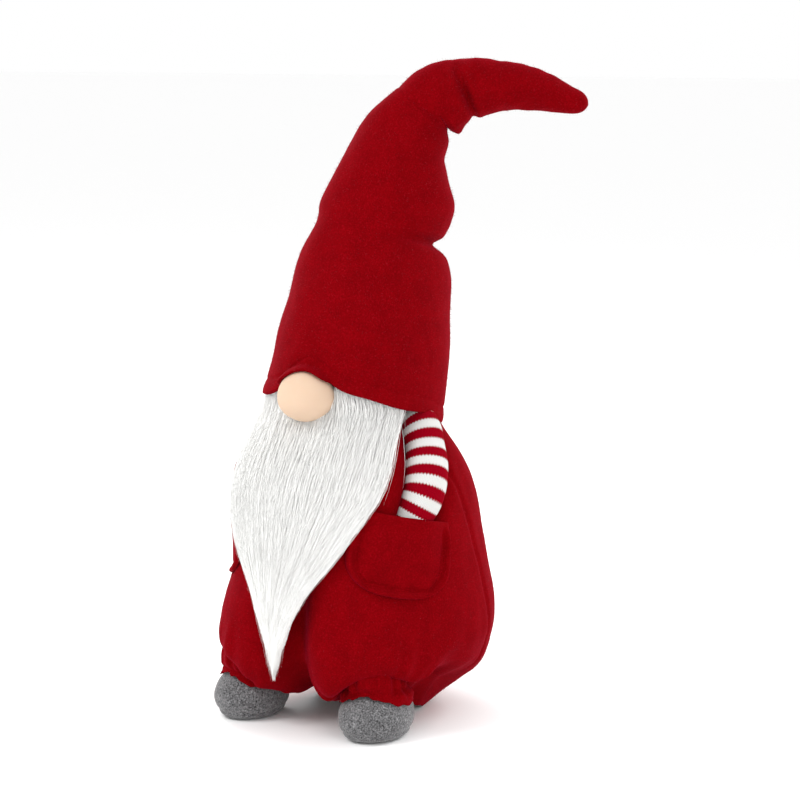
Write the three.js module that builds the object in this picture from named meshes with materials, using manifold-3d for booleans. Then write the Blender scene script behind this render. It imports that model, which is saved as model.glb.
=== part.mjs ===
// A stuffed cloth tomte that stands on two felt shoes and a weighted seat. It faces -Y.
// The origin is the middle of the flat seat, on the floor and under the body's axis. Sizes are in mm.

import * as THREE from "three";
import { mergeVertices } from "three/addons/utils/BufferGeometryUtils.js";
import Module from "manifold-3d";

const wasm = await Module();
wasm.setup();

// ---- Driving dimensions ----

const CLOTH = 2; // fleece, felt and lining
const KNIT = 1.4; // sleeve cloth
const SEAM_GAP = 0.3; // between the two cloths of a seam
const FILL_GAP = 0.8; // between a cover and its filling

const HIP_RADIUS = 108;
const HIP_HEIGHT = 78;
const CHEST_RADIUS = 89;
const CHEST_HEIGHT = 191;
const NECK_RADIUS = 62;
const NECK_HEIGHT = 246;
const CROWN_HEIGHT = 286; // closed top of the body, inside the hat
const SEAT_RADIUS = 60;
const FRONT_LIFT = 37; // underside above the floor, between the shoes
const LIFT_START = 8; // in front of the body's axis, where the underside starts to rise
const LIFT_END = 50;
const LIFTED = 75; // the rise fades out below this height
const GROOVE_DEPTH = 26; // between the trouser legs
const GROOVE_WIDTH = 17;

const SIDE_SEAM_HEIGHT = 160; // where the side seam crosses the body's side
const SIDE_SEAM_SLOPE = 16; // degrees backwards, going down
const BASE_HALF_WIDTH = 57;
const BASE_HALF_DEPTH = 42;
const BASE_BACK = 33; // how far the base panel sits behind the body's axis
const BASE_ROOM = 55; // the base panel's edge is lower than this all round

const BOARD_THICKNESS = 2;
const WEIGHT_RADIUS = 32;
const WEIGHT_HEIGHT = 30;
const WEIGHT_BACK = BASE_BACK + 5;

const SHOE_X = 60;
const SHOE_Y = -62;
const SHOE_HALF_WIDTH = 26;
const SHOE_HALF_LENGTH = 34;
const SHOE_HEIGHT = 44;
const SOLE_THICKNESS = 7;
const ANKLE_RADIUS = 20; // of the elastic round a trouser leg

const ARM_RADIUS = 16.5;
const HAND_RADIUS = 11.5;
const ARM_SWING = 3; // degrees either way
const ARM_ROOM = 1.5; // between an arm and the cloth round it

const POCKET_WIDTH = 88;
const POCKET_HEIGHT = 62;
const POCKET_BOTTOM = 111;
const POCKET_TURN = 54; // degrees from the front, round the body
const POCKET_SLANT = 8; // degrees that the mouth drops towards the side
const POCKET_ROOM = 2; // how far the pocket stands off the body

const NOSE_RADIUS = 22.5;
const NOSE_HEIGHT = 260;
const BEARD_LENGTH = 204;
const BEARD_PILE = 12;
const BEARD_TOP = 251;
const BEARD_HALF_TURN = 52; // degrees to either side, along the top edge
const BEARD_POINT = 4; // half width of its lower end
const BEARD_SWING = 50; // degrees that the beard lifts

const HAT_TILT = 14; // the brim stands higher in front
const HAT_HEIGHT = 248; // brim centre above the floor
const HAT_CLEARANCE = 4; // between the body and the inside of the brim, at the back
const HAT_TURN = 33; // degrees from +X to the way the hat flops
const HAT_LOWER = 133; // brim to the first fold
const HAT_MIDDLE = 115; // first fold to the second fold
const HAT_TIP = 137; // second fold to the end
const FOLD_RADIUS = 52;
const SECOND_FOLD_RADIUS = 27;
const TIP_RADIUS = 6;
const HAT_LEAN = 8; // degrees from upright, in the plane of the flop
const HAT_MIDDLE_BEND = 30; // degrees gained along the middle
const FOLD_KINK = 15; // degrees gained at the second fold
const HAT_TIP_BEND = 53; // degrees gained along the tip
const FOLD_SWING = 15; // degrees that either fold moves, each way
const SPARE_SWING = 13; // degrees of clearance beyond a fold's swing
const FOLD_ROOM = 1; // between the ball in a fold and the cover round it
const SOCKET_ROOM = 2; // between the ball and the filling under it
const TUCK_TURN = 60; // degrees of ball below a fold's centre, down to the hole
const WIRE_RADIUS = 1;
const WIRE_ROOM = 0.8;
const WIRE_START = 62; // from the brim
const WIRE_END = 3; // from a fold's centre to the wire's end
const THREAD_RADIUS = 0.9;
const HEM_HEIGHT = 12;

const AROUND = 24; // segments round the body and the hat
const AROUND_SMALL = 16; // round shoes, nose and folds
const AROUND_ARM = 10;

// ---- Small tools ----

const rad = THREE.MathUtils.degToRad;

function toSolid(geometry) {
  const bare = new THREE.BufferGeometry();
  bare.setAttribute("position", geometry.getAttribute("position").clone());
  if (geometry.index) bare.setIndex(geometry.index.clone());
  const merged = mergeVertices(bare, 1e-4);
  return new wasm.Manifold(
    new wasm.Mesh({
      numProp: 3,
      vertProperties: new Float32Array(merged.getAttribute("position").array),
      triVerts: new Uint32Array(merged.index.array),
    })
  );
}

function toGeometry(solid) {
  const mesh = solid.getMesh();
  const geometry = new THREE.BufferGeometry();
  geometry.setAttribute("position", new THREE.BufferAttribute(new Float32Array(mesh.vertProperties), 3));
  geometry.setIndex(new THREE.BufferAttribute(new Uint32Array(mesh.triVerts), 1));
  geometry.computeVertexNormals();
  return geometry;
}

// Turns a profile of [radius, height] points round +Z.
function turned(profile, segments = AROUND) {
  const points = profile.map(([radius, height]) => new THREE.Vector2(Math.max(radius, 0), height));
  return new THREE.LatheGeometry(points, segments).rotateX(Math.PI / 2);
}

function moveVertices(geometry, place) {
  const position = geometry.getAttribute("position");
  const point = new THREE.Vector3();
  for (let i = 0; i < position.count; i += 1) {
    point.fromBufferAttribute(position, i);
    place(point);
    position.setXYZ(i, point.x, point.y, point.z);
  }
  return geometry;
}

function ball(radius, centre, segments = AROUND_SMALL) {
  const sphere = new THREE.SphereGeometry(radius, segments, segments / 2);
  return toSolid(sphere.translate(centre.x, centre.y, centre.z));
}

function box(width, depth, height, x, y, z) {
  return toSolid(new THREE.BoxGeometry(width, depth, height).translate(x, y, z));
}

function smooth(value, low, high) {
  return THREE.MathUtils.smoothstep(value, low, high);
}

// Linear interpolation in a list of [at, value] pairs that rises in `at`.
function along(stations, at) {
  for (let i = 1; i < stations.length; i += 1) {
    const [low, a] = stations[i - 1];
    const [high, b] = stations[i];
    if (at <= high) return THREE.MathUtils.lerp(a, b, Math.max(at - low, 0) / (high - low));
  }
  return stations.at(-1)[1];
}

// A smooth curve through a few [at, value] pairs, as a list of close pairs.
function rounded(stations, count) {
  const curve = new THREE.SplineCurve(stations.map(([at, value]) => new THREE.Vector2(at, value)));
  return curve.getPoints(count).map((point) => [point.x, point.y]);
}

// Moves each point of a [radius, height] profile outwards by `grow`, square to the profile.
// A profile starts at its lower end on the axis and ends at its upper one.
function grown(profile, grow) {
  return profile.map(([radius, height], i) => {
    if (radius === 0) return [0, height + (i === 0 ? -grow : grow)];
    const [r0, h0] = profile[Math.max(i - 1, 0)];
    const [r1, h1] = profile[Math.min(i + 1, profile.length - 1)];
    const length = Math.hypot(r1 - r0, h1 - h0);
    return [radius + (grow * (h1 - h0)) / length, height - (grow * (r1 - r0)) / length];
  });
}

// ---- The body's shape ----

const bodyStations = [
  [0, SEAT_RADIUS],
  [8, SEAT_RADIUS + 16],
  [HIP_HEIGHT * 0.45, HIP_RADIUS - 5],
  [HIP_HEIGHT, HIP_RADIUS],
  [(HIP_HEIGHT * 2 + CHEST_HEIGHT) / 3, HIP_RADIUS - 3],
  [CHEST_HEIGHT, CHEST_RADIUS],
  [(CHEST_HEIGHT + NECK_HEIGHT * 3) / 4, NECK_RADIUS + 7],
  [NECK_HEIGHT, NECK_RADIUS],
  [(NECK_HEIGHT + CROWN_HEIGHT) / 2, NECK_RADIUS - 10],
  [CROWN_HEIGHT - 8, NECK_RADIUS - 32],
];
const bodyOutline = rounded(bodyStations, 90);

function bodyRadius(height) {
  return along(bodyOutline, height);
}


// The underside rises in front, where the shoes carry the trouser legs.
function underside(y) {
  return FRONT_LIFT * smooth(-y, LIFT_START, LIFT_END);
}


// The body, grown by `grow` all over. `legs` adds the groove between the trouser legs.
function bodySolid(grow, legs = true) {
  const outline = rounded(bodyStations, 13).map(([height, radius]) => [radius, height]);
  const seat = [0.25, 0.5, 0.75].map((share) => [SEAT_RADIUS * share, 0]);
  const profile = grown([[0, 0], ...seat, ...outline, [0, CROWN_HEIGHT]], grow);
  const geometry = moveVertices(turned(profile), (point) => {
    if (legs) {
      const strength = smooth(-point.y, 10, 60) * (1 - smooth(point.z, 90, 160));
      const dent = GROOVE_DEPTH * strength * Math.exp(-((point.x / GROOVE_WIDTH) ** 2));
      point.y += dent;
    }
    if (point.z < LIFTED) {
      const share = 1 - Math.max(point.z + grow, 0) / (LIFTED + grow);
      point.z += underside(point.y) * share;
    }
  });
  return toSolid(geometry);
}

// ---- Shoes ----

const SHOE_ROUND = SHOE_HEIGHT * 0.6;

function shoeSolid(grow, side) {
  const geometry = new THREE.SphereGeometry(1, AROUND_SMALL, 8);
  geometry.scale(SHOE_HALF_WIDTH + grow, SHOE_HALF_LENGTH + grow, SHOE_ROUND + grow);
  geometry.translate(side * SHOE_X, SHOE_Y, SHOE_HEIGHT - SHOE_ROUND);
  const height = SHOE_HEIGHT * 2;
  return toSolid(geometry).intersect(box(200, 200, height, side * SHOE_X, SHOE_Y, height / 2));
}

// Room for the top of a shoe, which turns on its ankle.
function shoeRoom(grow, side) {
  const geometry = new THREE.SphereGeometry(1, AROUND_SMALL, 8);
  geometry.scale(SHOE_HALF_LENGTH + grow, SHOE_HALF_LENGTH + grow, SHOE_ROUND + grow);
  return toSolid(geometry.translate(side * SHOE_X, SHOE_Y, SHOE_HEIGHT - SHOE_ROUND));
}

function turnedAbout(solid, centre, axis, degrees) {
  const matrix = new THREE.Matrix4().makeTranslation(centre.x, centre.y, centre.z);
  matrix.multiply(new THREE.Matrix4().makeRotationAxis(axis.clone().normalize(), rad(degrees)));
  matrix.multiply(new THREE.Matrix4().makeTranslation(-centre.x, -centre.y, -centre.z));
  return solid.transform(matrix.toArray());
}

function sweep(solid, centre, axis, angles) {
  return angles
    .map((degrees) => turnedAbout(solid, centre, axis, degrees))
    .reduce((all, one) => all.add(one));
}

function shoe(side) {
  const ankle = box(200, 200, SOLE_THICKNESS * 2, side * SHOE_X, SHOE_Y, 0);
  const raised = box(200, 200, (SOLE_THICKNESS + SEAM_GAP) * 2, side * SHOE_X, SHOE_Y, 0);
  const outer = shoeSolid(0, side);
  const inner = shoeSolid(-CLOTH, side);
  const hole = toSolid(
    new THREE.CylinderGeometry(HAND_RADIUS, HAND_RADIUS, SHOE_HEIGHT, 20)
      .rotateX(Math.PI / 2)
      .translate(side * SHOE_X, SHOE_Y, SHOE_HEIGHT)
  );
  const filling = shoeSolid(-CLOTH - FILL_GAP, side);
  const lifted = box(200, 200, (SOLE_THICKNESS + FILL_GAP) * 2, side * SHOE_X, SHOE_Y, 0);
  return {
    upper: outer.subtract(raised).subtract(inner).subtract(hole),
    sole: outer.intersect(ankle),
    filling: filling.subtract(lifted),
  };
}

// ---- Arms ----

// A point beside the body: degrees from the front, distance from the axis, height.
function beside(side, turn, distance, height) {
  return new THREE.Vector3(side * distance * Math.sin(rad(turn)), -distance * Math.cos(rad(turn)), height);
}

function armPath(side) {
  const inPocket = (turn, height, radius) =>
    beside(side, turn, bodyRadius(height) - radius - FILL_GAP - SEAM_GAP, height);
  return new THREE.CatmullRomCurve3([
    beside(side, 90, NECK_RADIUS - 5, NECK_HEIGHT + 2),
    beside(side, 84, NECK_RADIUS + 9, NECK_HEIGHT - 13),
    beside(side, 74, CHEST_RADIUS - 6, CHEST_HEIGHT + 7),
    inPocket(69, POCKET_BOTTOM + POCKET_HEIGHT * 0.9, ARM_RADIUS),
    inPocket(58, POCKET_BOTTOM + POCKET_HEIGHT * 0.45, HAND_RADIUS),
    inPocket(50, POCKET_BOTTOM + POCKET_HEIGHT * 0.22, HAND_RADIUS),
  ]);
}

// Bends a solid that stands on +Z, `length` high, along a curve.
function bentAlong(geometry, curve, length, sideways) {
  return moveVertices(geometry, (point) => {
    const share = THREE.MathUtils.clamp(point.z / length, 0, 1);
    const centre = curve.getPointAt(share);
    const forward = curve.getTangentAt(share);
    const right = sideways.clone().addScaledVector(forward, -sideways.dot(forward)).normalize();
    const up = forward.clone().cross(right);
    const over = point.z - share * length;
    const { x, y } = point;
    point.copy(centre).addScaledVector(right, x).addScaledVector(up, y).addScaledVector(forward, over);
  });
}

function armSolid(side, grow, startOpen = 0) {
  const path = armPath(side);
  const length = path.getLength();
  const levels = 8;
  const profile = [[0, -startOpen]];
  for (let i = 0; i < levels; i += 1) {
    const radius = THREE.MathUtils.lerp(ARM_RADIUS, HAND_RADIUS, smooth(i / levels, 0.55, 0.85));
    profile.push([radius, i === 0 ? -startOpen : (length * i) / levels]);
  }
  profile.push([HAND_RADIUS * 0.55, length - 2], [0, length]);
  return toSolid(bentAlong(turned(grown(profile, grow), AROUND_ARM), path, length, shoulder(side).axis));
}

function shoulder(side) {
  return {
    centre: beside(side, 90, NECK_RADIUS - 5, NECK_HEIGHT + 2),
    axis: beside(side, 72, 1, 0),
  };
}

// The space that an arm needs as it swings.
function armRoom(side, grow) {
  const { centre, axis } = shoulder(side);
  return sweep(armSolid(side, grow + ARM_ROOM, CLOTH * 4), centre, axis, [0, ARM_SWING, -ARM_SWING]);
}

function arm(side) {
  const mouth = armSolid(side, -KNIT, KNIT * 4);
  return {
    sleeve: armSolid(side, 0).subtract(mouth),
    filling: armSolid(side, -KNIT - FILL_GAP),
  };
}

// ---- Hat ----

const flop = new THREE.Vector3(Math.cos(rad(HAT_TURN)), Math.sin(rad(HAT_TURN)), 0);
const foldAxis = new THREE.Vector3(-flop.y, flop.x, 0);
const HAT_LENGTH = HAT_LOWER + HAT_MIDDLE + HAT_TIP;
const SECOND_FOLD = HAT_LOWER + HAT_MIDDLE;
const brimBack = HAT_HEIGHT - NECK_RADIUS * Math.tan(rad(HAT_TILT));
const HAT_BRIM_RADIUS = bodyRadius(brimBack) + HAT_CLEARANCE + CLOTH;

// The hat's middle line, as a walk in small steps whose heading turns at the folds.
class HatLine extends THREE.Curve {
  constructor() {
    super();
    const steps = Math.round(HAT_LENGTH);
    const step = HAT_LENGTH / steps;
    this.points = [new THREE.Vector3(0, 0, HAT_HEIGHT)];
    for (let i = 0; i < steps; i += 1) {
      const last = this.points.at(-1);
      this.points.push(last.clone().addScaledVector(HatLine.heading((i + 0.5) * step), step));
    }
  }

  static heading(distance) {
    const middle = smooth(distance, HAT_LOWER, SECOND_FOLD);
    const tip = Math.min(Math.max(distance - SECOND_FOLD, 0) / (HAT_TIP * 0.7), 1);
    const kink = distance > SECOND_FOLD ? FOLD_KINK : 0;
    const bend = rad(HAT_LEAN + HAT_MIDDLE_BEND * middle + kink + HAT_TIP_BEND * tip);
    const upright = smooth(distance, HAT_LOWER * 0.7, SECOND_FOLD);
    const back = rad(HAT_TILT) * Math.cos(rad(HAT_TURN)) * (1 - upright);
    const direction = flop.clone().multiplyScalar(Math.sin(bend));
    direction.addScaledVector(foldAxis, Math.sin(back)).setZ(Math.cos(bend));
    return direction.normalize();
  }

  getPoint(share, target = new THREE.Vector3()) {
    const place = THREE.MathUtils.clamp(share, 0, 1) * (this.points.length - 1);
    const low = Math.min(Math.floor(place), this.points.length - 2);
    return target.lerpVectors(this.points[low], this.points[low + 1], place - low);
  }
}

const hatLine = new HatLine();

function hatPoint(distance) {
  return hatLine.getPoint(distance / HAT_LENGTH);
}

const hatOutline = [
  [0, HAT_BRIM_RADIUS],
  [HAT_LOWER * 0.25, HAT_BRIM_RADIUS + 0.5],
  [HAT_LOWER * 0.5, HAT_BRIM_RADIUS - 3],
  [HAT_LOWER, FOLD_RADIUS],
  [HAT_LOWER + HAT_MIDDLE * 0.22, FOLD_RADIUS + 1],
  [HAT_LOWER + HAT_MIDDLE * 0.48, FOLD_RADIUS - 3],
  [HAT_LOWER + HAT_MIDDLE * 0.75, (FOLD_RADIUS + SECOND_FOLD_RADIUS) / 2],
  [SECOND_FOLD, SECOND_FOLD_RADIUS],
  [SECOND_FOLD + HAT_TIP * 0.25, SECOND_FOLD_RADIUS * 0.85],
  [SECOND_FOLD + HAT_TIP * 0.55, SECOND_FOLD_RADIUS * 0.68],
  [SECOND_FOLD + HAT_TIP * 0.8, SECOND_FOLD_RADIUS * 0.45],
  [HAT_LENGTH - TIP_RADIUS, TIP_RADIUS],
];

function hatRadius(distance) {
  return along(hatOutline, distance);
}

// A length of hat starting at `start`, bent along the hat's line. profile is [radius, distance].
function hatLathe(profile, start, segments = AROUND) {
  const section = turned(profile.map(([radius, distance]) => [radius, distance - start]), segments);
  const placed = moveVertices(section, (point) => {
    const at = THREE.MathUtils.clamp(point.z + start, start + 0.5, HAT_LENGTH - 0.5);
    const forward = HatLine.heading(at);
    const right = foldAxis.clone().addScaledVector(forward, -foldAxis.dot(forward)).normalize();
    const up = forward.clone().cross(right);
    const over = point.z + start - at;
    const { x, y } = point;
    point.copy(hatPoint(at)).addScaledVector(right, x).addScaledVector(up, y).addScaledVector(forward, over);
  });
  return toSolid(placed);
}

// The largest radius, at a height above a ball joint's centre, that swings clear of the piece below.
function clearOfFold(height, radius, swing) {
  const onBall = Math.sqrt(Math.max(radius ** 2 - height ** 2, 0));
  return Math.max(height < radius * Math.sin(rad(swing)) ? onBall : 0, height / Math.tan(rad(swing)));
}

// Profile points of the hat's outline from one distance to another, made smaller or larger by `grow`.
function hatProfile(from, to, grow, levels, limit = () => Infinity) {
  const profile = [];
  for (let i = 0; i <= levels; i += 1) {
    const distance = THREE.MathUtils.lerp(from, to, i / levels);
    profile.push([Math.min(hatRadius(distance), limit(distance - from)) + grow, distance]);
  }
  return profile;
}

function foldBallRadius(at) {
  return hatRadius(at) - CLOTH - FOLD_ROOM;
}

// The round end of a length of hat, which tucks into the length below it, from its hole upwards.
function foldProfile(at, grow, firstTurn) {
  const radius = foldBallRadius(at) + grow;
  const profile = [];
  const steps = 4;
  for (let i = 0; i < steps; i += 1) {
    const turn = rad(THREE.MathUtils.lerp(firstTurn, 0, i / steps));
    profile.push([radius * Math.sin(Math.PI / 2 - turn), at - radius * Math.sin(turn)]);
  }
  return profile;
}

function coverProfile(outer, inner) {
  return [...outer, ...inner.reverse(), outer[0]];
}

// The filling is hollowed out below the fold, so that the wire below it can swing.
function hollowedProfile(at, outer) {
  return [[0, at + 2], [3, at], ...outer, [0, outer.at(-1)[1]]];
}

function solidProfile(outer) {
  return [[0, outer[0][1]], ...outer, [0, outer.at(-1)[1]]];
}

function hatTipProfile(grow, limit) {
  const end = HAT_LENGTH + grow;
  const body = hatProfile(SECOND_FOLD, end - TIP_RADIUS, grow, 8, limit);
  const last = [(TIP_RADIUS + grow) * 0.7, end - TIP_RADIUS * 0.3];
  return [...foldProfile(SECOND_FOLD, grow, TUCK_TURN), ...body, last];
}

function wire(from, to, radius = WIRE_RADIUS) {
  const steps = 8;
  const points = [];
  for (let i = 0; i <= steps; i += 1) points.push(hatPoint(THREE.MathUtils.lerp(from, to, i / steps)));
  return wireAlong(points, radius, steps);
}

function wireAlong(points, radius, steps) {
  const shape = new THREE.Shape().absarc(0, 0, radius, 0, Math.PI * 2, false);
  const extrudePath = new THREE.CatmullRomCurve3(points);
  return new THREE.ExtrudeGeometry(shape, { steps, curveSegments: 3, bevelEnabled: false, extrudePath });
}

const noseCentre = new THREE.Vector3(0, -(NECK_RADIUS + 7), NOSE_HEIGHT);

function wireRoom(from, to) {
  return toSolid(wire(from, to, WIRE_RADIUS + WIRE_ROOM));
}

function hat() {
  const nose = ball(NOSE_RADIUS + FILL_GAP, noseCentre);
  const arms = armRoom(1, 0).add(armRoom(-1, 0));
  const inFilling = -CLOTH - FILL_GAP;
  const firstBall = ball(foldBallRadius(HAT_LOWER) + SOCKET_ROOM, hatPoint(HAT_LOWER), AROUND);
  const secondBall = ball(foldBallRadius(SECOND_FOLD) + SOCKET_ROOM, hatPoint(SECOND_FOLD), AROUND);
  const lower = coverProfile(hatProfile(0, HAT_LOWER, 0, 6), hatProfile(0, HAT_LOWER, -CLOTH, 6));
  const lowerFill = hatProfile(0, HAT_LOWER, inFilling, 6);

  const first = (height) => clearOfFold(height, foldBallRadius(HAT_LOWER), FOLD_SWING + SPARE_SWING);
  const middle = (grow) => [
    ...foldProfile(HAT_LOWER, grow, TUCK_TURN),
    ...hatProfile(HAT_LOWER, SECOND_FOLD, grow, 8, first),
  ];
  const secondSwing = FOLD_SWING + FOLD_KINK + SPARE_SWING;
  const second = (height) => clearOfFold(height, foldBallRadius(SECOND_FOLD), secondSwing);
  const tipOuter = [...hatTipProfile(0, second), [0, HAT_LENGTH]];
  const tipInner = [...hatTipProfile(-CLOTH, second), [0, HAT_LENGTH - CLOTH]];

  const tipFill = hollowedProfile(SECOND_FOLD, hatTipProfile(inFilling, second));
  const hemProfile = [];
  for (let i = 0; i <= 4; i += 1) {
    const turn = (Math.PI * 2 * i) / 4;
    const lineRadius = hatRadius(HEM_HEIGHT) + THREAD_RADIUS + SEAM_GAP;
    const height = HEM_HEIGHT + THREAD_RADIUS * Math.sin(turn);
    hemProfile.push([lineRadius + THREAD_RADIUS * Math.cos(turn), height]);
  }
  const ends = [WIRE_START, HAT_LOWER, SECOND_FOLD, HAT_LENGTH - TIP_RADIUS * 2 + WIRE_END];
  // The middle wire stops under the second ball, whose hole is too narrow for the kinked line.
  const stops = [WIRE_END, foldBallRadius(SECOND_FOLD), WIRE_END];
  const wires = [0, 1, 2].map((i) => wire(ends[i] + (i > 0 ? WIRE_END : 0), ends[i + 1] - stops[i]));
  return {
    lower: hatLathe(lower, 0).subtract(nose).subtract(arms),
    lowerFill: hatLathe(solidProfile(lowerFill), 0)
      .subtract(bodySolid(FILL_GAP))
      .subtract(firstBall)
      .subtract(wireRoom(WIRE_START - WIRE_ROOM, HAT_LOWER))
      .subtract(nose)
      .subtract(arms),
    middle: hatLathe(coverProfile(middle(0), middle(-CLOTH)), HAT_LOWER),
    middleFill: hatLathe(hollowedProfile(HAT_LOWER, middle(inFilling)), HAT_LOWER)
      .subtract(secondBall)
      .subtract(wireRoom(HAT_LOWER, SECOND_FOLD)),
    tip: hatLathe(coverProfile(tipOuter, tipInner), SECOND_FOLD, AROUND_SMALL),
    tipFill: hatLathe(tipFill, SECOND_FOLD, AROUND_SMALL).subtract(wireRoom(SECOND_FOLD, ends[3])),
    hem: hatLathe(hemProfile, 0).subtract(nose).subtract(arms),
    wires,
    envelope: hatLathe(solidProfile(hatProfile(-CLOTH * 3, HAT_LOWER, FILL_GAP, 6)), 0),
  };
}

// ---- Nose ----

function nose() {
  const outer = ball(NOSE_RADIUS, noseCentre);
  const inner = ball(NOSE_RADIUS - CLOTH, noseCentre);
  const hole = toSolid(
    new THREE.CylinderGeometry(6, 6, NOSE_RADIUS * 2, 16)
      .translate(noseCentre.x, noseCentre.y + NOSE_RADIUS, noseCentre.z)
  );
  return {
    cover: outer.subtract(inner).subtract(hole),
    filling: ball(NOSE_RADIUS - CLOTH - FILL_GAP, noseCentre),
  };
}

// ---- Beard ----

const beardHinge = new THREE.Vector3(0, -(NECK_RADIUS + 2), BEARD_TOP - 3);

function beardOutline(shrink) {
  const bottom = BEARD_TOP - BEARD_LENGTH;
  const halfWidth = bodyRadius(BEARD_TOP - 30) * Math.sin(rad(BEARD_HALF_TURN)) - shrink;
  const corner = halfWidth * 0.88;
  const bulge = halfWidth * 1.25;
  const bulgeHeight = BEARD_TOP - BEARD_LENGTH * 0.35;
  const shape = new THREE.Shape();
  shape.moveTo(-corner, BEARD_TOP - shrink);
  shape.lineTo(corner, BEARD_TOP - shrink);
  shape.quadraticCurveTo(bulge, bulgeHeight, BEARD_POINT, bottom + shrink * 2);
  shape.lineTo(-BEARD_POINT, bottom + shrink * 2);
  shape.quadraticCurveTo(-bulge, bulgeHeight, -corner, BEARD_TOP - shrink);
  return shape;
}

function frontPrism(shape, depth = 200) {
  const geometry = new THREE.ExtrudeGeometry(shape, { depth, bevelEnabled: false, curveSegments: 8 });
  return toSolid(geometry.rotateX(Math.PI / 2));
}

function beard(hatEnvelope) {
  const noses = sweep(
    ball(NOSE_RADIUS + FILL_GAP, noseCentre),
    beardHinge,
    new THREE.Vector3(1, 0, 0),
    [0, 10, 20, 30, 40, BEARD_SWING]
  );
  const arms = armRoom(1, 1).add(armRoom(-1, 1));
  const pockets = pocketSolid(1, 1).add(pocketSolid(-1, 1));
  const lifts = [10, 20, 30, 40, BEARD_SWING];
  const chests = sweep(bodySolid(SEAM_GAP, false), beardHinge, new THREE.Vector3(1, 0, 0), lifts);
  const others = chests.add(noses).add(arms).add(hatEnvelope).add(pockets);
  const clear = (solid) => solid.subtract(others);
  const surface = (grow) => bodySolid(grow, false);
  const backing = frontPrism(beardOutline(14)).intersect(surface(1 + CLOTH).subtract(surface(1)));
  const pile = frontPrism(beardOutline(0)).intersect(surface(1 + CLOTH + SEAM_GAP + BEARD_PILE));
  return {
    backing: clear(backing),
    pile: clear(pile.subtract(surface(1 + CLOTH + SEAM_GAP))),
  };
}

// ---- Overalls, base and filling ----

function ellipticPost(halfWidth, halfDepth, bottom, top, x, y) {
  const geometry = new THREE.CylinderGeometry(1, 1, top - bottom, AROUND).rotateX(Math.PI / 2);
  return toSolid(geometry.scale(halfWidth, halfDepth, 1).translate(x, y, (top + bottom) / 2));
}

// Everything behind the slanting side seams.
function backHalf(shift) {
  const size = 800;
  const geometry = new THREE.BoxGeometry(size, size, size).translate(0, size / 2 + shift, 0);
  geometry.rotateX(rad(SIDE_SEAM_SLOPE)).translate(0, 0, SIDE_SEAM_HEIGHT);
  return toSolid(geometry);
}

function sideHalf(side, shift) {
  const size = 800;
  return box(size, size, size, side * (size / 2 + shift), 0, 0);
}

// The pocket's outline pushed through the body's front. shrink makes it smaller, over makes it higher.
function pocketPrism(side, shrink, over) {
  const round = POCKET_HEIGHT * 0.55;
  const shape = new THREE.Shape();
  const half = POCKET_WIDTH / 2 - shrink;
  const drop = Math.tan(rad(POCKET_SLANT)) * half;
  shape.moveTo(-half, POCKET_HEIGHT + drop + over);
  shape.lineTo(-half, round);
  shape.quadraticCurveTo(-half, shrink, -half + round * 0.8, shrink);
  shape.lineTo(half - round * 0.8, shrink);
  shape.quadraticCurveTo(half, shrink, half, round);
  shape.lineTo(half, POCKET_HEIGHT - drop + over);
  const geometry = new THREE.ExtrudeGeometry(shape, { depth: 180, bevelEnabled: false, curveSegments: 4 });
  geometry.rotateX(Math.PI / 2).translate(0, 0, POCKET_BOTTOM);
  if (side < 0) flipped(geometry.scale(-1, 1, 1));
  return turnedAbout(toSolid(geometry), new THREE.Vector3(), new THREE.Vector3(0, 0, 1), side * POCKET_TURN);
}

function pocketSolid(side, grow) {
  return pocketPrism(side, -grow, 0).intersect(bodySolid(SEAM_GAP + CLOTH + POCKET_ROOM + grow));
}

function pocket(side) {
  const inside = pocketPrism(side, CLOTH, 1).intersect(bodySolid(SEAM_GAP + POCKET_ROOM));
  return pocketSolid(side, 0).subtract(bodySolid(SEAM_GAP)).subtract(inside);
}

// Turns the faces of a mirrored geometry the right way out again.
function flipped(geometry) {
  if (geometry.index) {
    const order = geometry.index.array;
    for (let i = 0; i < order.length; i += 3) [order[i], order[i + 2]] = [order[i + 2], order[i]];
    return geometry;
  }
  const { array } = geometry.getAttribute("position");
  for (let i = 0; i < array.length; i += 9) {
    for (let k = 0; k < 3; k += 1) [array[i + k], array[i + 6 + k]] = [array[i + 6 + k], array[i + k]];
  }
  return geometry;
}

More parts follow.
